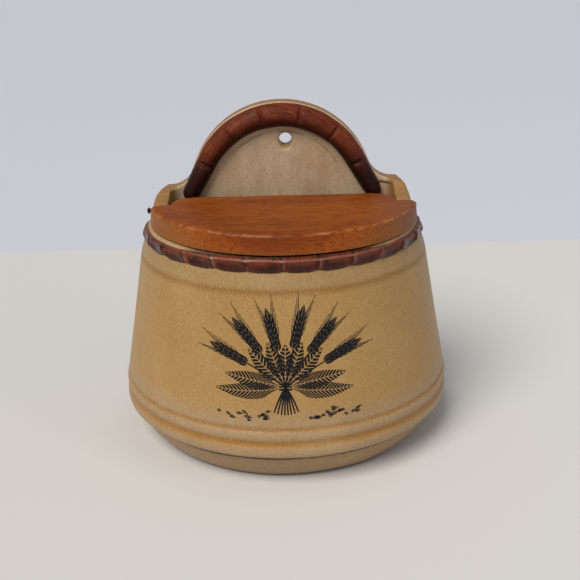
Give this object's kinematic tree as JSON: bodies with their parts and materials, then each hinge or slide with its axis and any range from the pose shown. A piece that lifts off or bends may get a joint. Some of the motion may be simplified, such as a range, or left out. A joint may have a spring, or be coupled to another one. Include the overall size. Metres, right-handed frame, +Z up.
{
  "type": "salt box",
  "caption": "Wall-hung pottery salt box: flared round body, flat back, arched hanging plate with a nail hole, crimped clay trim and a board lid that lifts on nail pivots.",
  "frame": {"origin": "on the resting plane under the foot, on the axis the pot's round body was turned about", "axes": "+Z up, the round front faces -Y, the flat wall side faces +Y, +X to the right seen from the front"},
  "size_m": [0.15, 0.092, 0.1466],
  "materials": {
    "mustard_glaze": "satin speckled mustard glaze with paler bands",
    "brown_glaze": "glossy dark brown glaze, worn golden at edges",
    "lid_wood": "oiled fine-grained red-brown board",
    "nail_steel": "dark oxidised wire nail"
  },
  "bodies": {
    "pot_body": {"pot": "mustard_glaze", "rim_crust": "brown_glaze", "arch_crust": "brown_glaze"},
    "lid_body": {"lid": "lid_wood", "hinge_pin_left": "nail_steel", "hinge_pin_right": "nail_steel"}
  },
  "joints": [
    {"name": "lid_hinge", "type": "hinge", "parent": "pot_body", "child": "lid_body", "pos_m": [0, -0.0045, 0.1017], "axis": [-1, 0, 0], "range_deg": [0, 94]}
  ]
}
